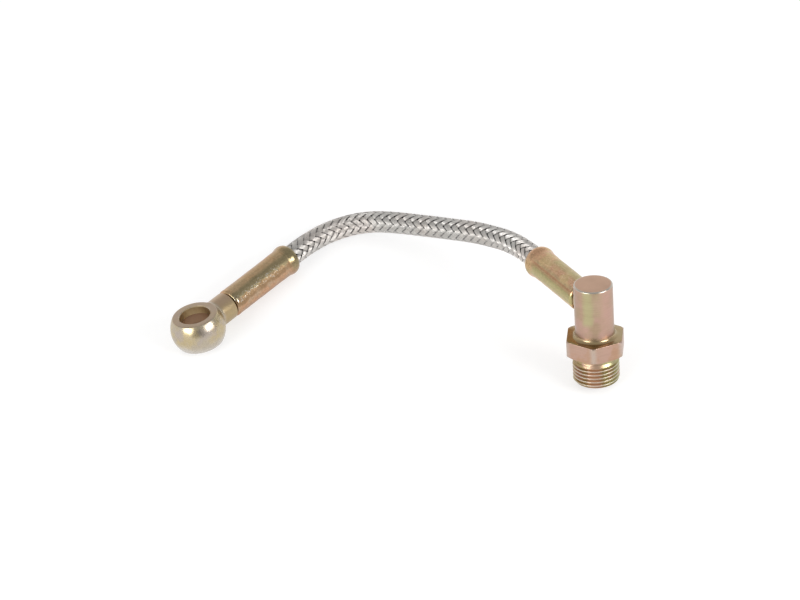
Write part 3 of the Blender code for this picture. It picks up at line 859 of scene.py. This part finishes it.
def makeUnion():
    outer = union["threadDiameter"] / 2
    under = outer - union["undercutDepth"]
    thread, foot = union["threadLength"], union["threadLength"] + union["undercutLength"]
    top = foot + union["hexHeight"]
    apothem = union["hexAcrossFlats"] / 2
    hexCorner = apothem / math.cos(math.radians(30))
    tangent = math.tan(math.radians(30))
    hexTurn = math.radians(union["hexTurn"])
    edge = union["hexEdge"]
    post, fillet = union["postDiameter"] / 2, union["postFillet"]
    postTop = top + union["postHeight"]
    recess, bore = union["recessDiameter"] / 2, union["bore"] / 2
    recessDepth, recessChamfer = union["recessDepth"], union["recessChamfer"]
    drillTop, drillSlope = union["branchHeight"] + bore, 0.6
    pole = 0.02  # radius at which an end of the turned body closes

    # Up from the drill's point inside, down to the thread's end and up again outside
    rings = [(drillTop + bore / 2, pole), (drillTop, bore)]
    rings += [(recessDepth + (recess - bore) * drillSlope, bore), (recessDepth, recess)]
    rings += [(recessChamfer, recess), (0, recess + recessChamfer)]

    chamfered = outer - union["threadChamfer"]
    steps = union["threadSteps"]
    runOutSlope = union["undercutDepth"] / union["runOut"]

    def threadAt(height):
        limit = min(chamfered + height, under + (thread - height) * runOutSlope)
        return lambda angle: min(threadRadius(angle, height), limit)

    rings.append((0, chamfered - union["threadFoot"]))
    rings += [(thread * i / steps, threadAt(thread * i / steps)) for i in range(1, steps)]
    underFillet = union["undercutFillet"]
    rings += swapped(arc((under + underFillet, foot - underFillet), underFillet, 180, 90, 6))

    def hexRadius(angle, shrink):
        sector = (angle - hexTurn) % (math.pi / 3) - math.pi / 6
        return min(apothem / math.cos(sector), hexCorner - union["hexCornerCut"]) - shrink

    def hexAt(height, shrink=0.0):
        limit = min(
            hexCorner - (union["hexFootChamfer"] - (height - foot)) / tangent,
            hexCorner - (union["hexTopChamfer"] - (top - height)) / tangent)
        return lambda angle: min(hexRadius(angle, shrink), limit - shrink)

    # An edge is broken in two steps
    rim = edge * 0.3
    rings += [(foot, hexAt(foot, edge)), (foot + rim, hexAt(foot + rim, rim))]
    rings.append((foot + edge, hexAt(foot + edge)))
    footSteps = 8
    for i in range(1, footSteps + 1):
        height = foot + edge + (union["hexFootChamfer"] - edge) * i / footSteps
        rings.append((height, hexAt(height)))
    rings.append(((foot + top) / 2, hexAt((foot + top) / 2)))
    topSteps = 4
    for i in range(topSteps + 1):
        height = top - union["hexTopChamfer"] + (union["hexTopChamfer"] - edge) * i / topSteps
        rings.append((height, hexAt(height)))
    rings += [(top - rim, hexAt(top - rim, rim)), (top, hexAt(top, edge))]
    rings += swapped(arc((post + fillet, top + fillet), fillet, 270, 180, 12))
    postSteps = 8
    postStep = (postTop - top - 2 * fillet) / postSteps
    rings += [(top + fillet + postStep * i, post) for i in range(1, postSteps + 1)]
    soft = union["postEdge"]
    rings += swapped(arc((post - soft, postTop - soft), soft, 0, 90, 7))
    rings += [(postTop, post / 2), (postTop, pole)]
    item = turned("union", rings, union["segments"], startAngle=hexTurn)

    # The seat that the hose tail is brazed into, bored from the side
    seatStart = post + union["postToSleeve"] - 2 * union["clearance"] - union["flangeLength"]
    seat = turned("seat", [
        (bore / 2, union["socketDiameter"] / 2), (seatStart, union["socketDiameter"] / 2),
        (seatStart, union["seatDiameter"] / 2), (post + 1, union["seatDiameter"] / 2)], 48)
    seat.data.transform(
        Matrix.Translation((0, 0, union["branchHeight"])) @ Matrix.Rotation(math.radians(90), 4, "Y"))
    combine(item, seat, "DIFFERENCE")

    # Mesh X lies along the branch and mesh Z along the post
    reach = sleeve["length"] + post + union["postToSleeve"]
    branch = moved(unionMouth, -reach)
    along, stem = branch.col[2].to_3d(), branch.col[0].to_3d()
    place = Matrix((along, stem.cross(along), stem)).transposed().to_4x4()
    place.translation = branch.translation - stem * union["branchHeight"]
    finishPiece(item, place, unionMaterial(), "threaded_union", 32)


def unionMaterial():
    material, nodes, shader = newMaterial("unionZinc")
    place, x, y, z = fitPlace(nodes)
    clouds = nodes.noise(place, 0.30, 3.0)
    wander = (clouds - 0.5) * 0.10
    rings = nodes.noise(nodes.vector(x * 0.04, y * 0.04, z), 5.0, 3.0)
    specks = nodes.noise(place, 6.0, 4.0)
    fromAxis = (x * x + y * y).root()
    colour = nodes.mix(clouds.between(0.30, 0.70), zincFilm["tan"], zincFilm["pink"])
    for band in union["bands"]:
        colour = nodes.mix(bandMask(x, y, z, band, wander), colour, zincFilm[band["tint"]])
    foot = union["threadLength"] + union["undercutLength"]
    top = foot + union["hexHeight"]
    end = top + union["postHeight"]
    # Hexagon: pale along its edges, gold on its top and round the post's foot
    flats = z.between(foot - 0.05, foot) * (1 - z.between(top - 0.1, top))
    flatColour = nodes.mix(clouds.between(0.44, 0.62), zincFilm["pink"], zincFilm["orange"])
    colour = nodes.mix(flats * 0.7, colour, flatColour)
    corner = flats * (fromAxis + wander * 1.6).between(*union["cornerTint"])
    colour = nodes.mix(corner * 0.45, colour, zincFilm["silver"])
    seat = z.between(top - 0.03, top) * (1 - z.between(top + 0.2, top + 1.6))
    colour = nodes.mix(seat * 0.85, colour, zincFilm["gold"])
    # Post: its flat top, and a pale silver edge round it that is partly worn plating and partly a
    # painted highlight
    colour = nodes.mix(z.between(end - 0.06, end - 0.02), colour, zincFilm["sand"])
    rim = z.between(end - 0.42, end - 0.12) * fromAxis.between(*union["postRimWearAndHighlight"])
    colour = nodes.mix(rim * 0.85, colour, zincFilm["silver"])
    # Thread: painted highlights in silver on the crests, and painted shade in brown in the grooves
    below = 1 - z.between(foot - 0.1, foot - 0.02)
    away = (towards(x, y, 225) + wander).between(0.2, 0.9)
    screw = nodes.mix(away, zincFilm["gold"], zincFilm["green"])
    screw = nodes.mix(clouds.between(0.50, 0.62) * 0.7, screw, zincFilm["pink"])
    # A peach band down the thread's front is a painted reflection
    screw = nodes.mix(towards(x, y, 148).between(0.90, 1.0) * 0.85, screw, zincFilm["peachReflection"])
    colour = nodes.mix(below, colour, screw)
    cut = below * (1 - z.between(*union["runOutTint"]))
    # Painted shade in the thread's grooves
    groove = cut * (1 - fromAxis.between(*union["grooveShade"]))
    colour = nodes.mix(groove * 0.55, colour, zincFilm["grooveShadeBrown"])
    # Painted highlight on the thread's crests
    crest = cut * fromAxis.between(*union["crestHighlight"])
    colour = nodes.mix(crest * 0.6, colour, zincFilm["silver"])
    shade = 0.76 + rings * 0.22 + (specks - 0.5) * 0.12 + cut * 0.15
    plug(nodes, shader, "Base Color", nodes.scaled(colour, shade))
    plug(nodes, shader, "Metallic", 1.0)
    bright = rim + seat + corner * 0.5 + below * 0.25
    plug(nodes, shader, "Roughness", 0.36 - bright * 0.15 + (clouds - 0.5) * 0.12)
    turnedMarks = nodes.bump(rings, 0.5, 0.02 * mm)
    plug(nodes, shader, "Normal", nodes.bump(specks, 0.2, 0.03 * mm, turnedMarks))
    return material


makeUnion()


# Inner pieces keep their solids, in better materials
inner = {
    "hose_liner": {
        "material": "linerPlastic", "metallic": 0.0, "roughness": 0.45, "grain": 900.0,
        "colours": ((0.020, 0.020, 0.021), (0.045, 0.043, 0.041)),
    },
    "union_hose_tail": {
        "material": "tailZinc", "metallic": 1.0, "roughness": 0.28, "grain": 700.0,
        "colours": (zincFilm["gold"], zincFilm["tan"]),
    },
}


def innerMaterial(look):
    material, nodes, shader = newMaterial(look["material"])
    mottle = nodes.noise(nodes.add("ShaderNodeTexCoord", out="Object"), look["grain"], 3.0)
    plug(nodes, shader, "Base Color", nodes.mix(mottle, *look["colours"]))
    plug(nodes, shader, "Metallic", look["metallic"])
    plug(nodes, shader, "Roughness", look["roughness"] + mottle * 0.2)
    return material


for node, look in inner.items():
    material = innerMaterial(look)
    for slot in bpy.data.objects[node].material_slots:
        slot.material = material
print("inner pieces ready")


# Floor and light
studio = {
    "floorSize": 4.0, "floorDrop": 0.0003, "floorGlow": 0.58,
    "floorColour": (0.50, 0.50, 0.50), "floorGrain": (0.46, 0.46, 0.46),
    "horizon": 1.0, "ceiling": 0.60, "aim": (0, 0, 0.012),
    "flags": [
        # direction of a grey flag, how far it reaches as cosines, and how much it takes away
        ((0.12, -0.98, 0.12), 0.82, 0.97, 0.60),
        ((1.0, -0.15, 0.02), 0.60, 0.95, 0.35),
    ],
    "boxes": [
        # direction from the part, distance, width, height, power in watts
        ((-0.63, -0.66, 0.42), 0.75, 0.42, 0.28, 2.6),
        ((0.78, -0.44, 0.46), 0.75, 0.42, 0.28, 3.0),
    ],
}


def addFloor():
    half = studio["floorSize"] / 2
    low = -studio["floorDrop"]
    item = meshObject(
        "floor", [(-half, -half, low), (half, -half, low), (half, half, low), (-half, half, low)],
        [(0, 1, 2, 3)])
    material, nodes, shader = newMaterial("floorPaper")
    place = nodes.add("ShaderNodeTexCoord", out="Object")
    grain = nodes.noise(place, 60.0, 3.0)
    colour = nodes.mix(grain * 0.1, studio["floorColour"], studio["floorGrain"])
    plug(nodes, shader, "Base Color", colour)
    plug(nodes, shader, "Roughness", 0.9)
    plug(nodes, shader, "Specular IOR Level", 0.0)
    ray = nodes.tree.nodes.new("ShaderNodeLightPath")
    seen = Value(nodes, ray.outputs["Is Camera Ray"]) + Value(nodes, ray.outputs["Is Glossy Ray"])
    seen = (seen + Value(nodes, ray.outputs["Is Transmission Ray"])).clamped(0, 1)
    glow = nodes.add(
        "ShaderNodeEmission", None, {"Color": (1, 1, 1, 1), "Strength": seen * studio["floorGlow"]})
    both = nodes.add("ShaderNodeAddShader", None, [Value(nodes, shader.outputs[0]), glow])
    nodes.tree.links.new(both.socket, nodes.tree.nodes["Material Output"].inputs["Surface"])
    item.data.materials.append(material)


def addWorld():
    world = bpy.data.worlds.new("studio")
    world.use_nodes = True
    bpy.context.scene.world = world
    nodes = NodeTree(world.node_tree)
    direction = nodes.add("ShaderNodeTexCoord", out="Generated")
    height = nodes.split(direction)[2].between(0.20, 0.60)
    strength = studio["horizon"] - height * (studio["horizon"] - studio["ceiling"])
    for flagDirection, outer, inner, share in studio["flags"]:
        facing = nodes.add(
            "ShaderNodeVectorMath", {"operation": "DOT_PRODUCT"},
            {0: direction, 1: Vector(flagDirection).normalized()}, out="Value")
        strength = strength * (1 - facing.between(outer, inner) * share)
    background = world.node_tree.nodes["Background"]
    background.inputs["Color"].default_value = (1, 1, 1, 1)
    nodes.tree.links.new(strength.socket, background.inputs["Strength"])


def addLights():
    middle = Vector(studio["aim"])
    for i, (direction, distance, width, height, power) in enumerate(studio["boxes"]):
        data = bpy.data.lights.new("softbox%d" % (i + 1), "AREA")
        data.shape = "RECTANGLE"
        data.size = width
        data.size_y = height
        data.energy = power
        item = bpy.data.objects.new(data.name, data)
        bpy.context.scene.collection.objects.link(item)
        away = Vector(direction).normalized()
        item.location = middle + away * distance
        item.rotation_euler = away.to_track_quat("Z", "Y").to_euler()


addFloor()
addWorld()
addLights()
bpy.context.scene.view_settings.view_transform = "Standard"
print("studio ready")
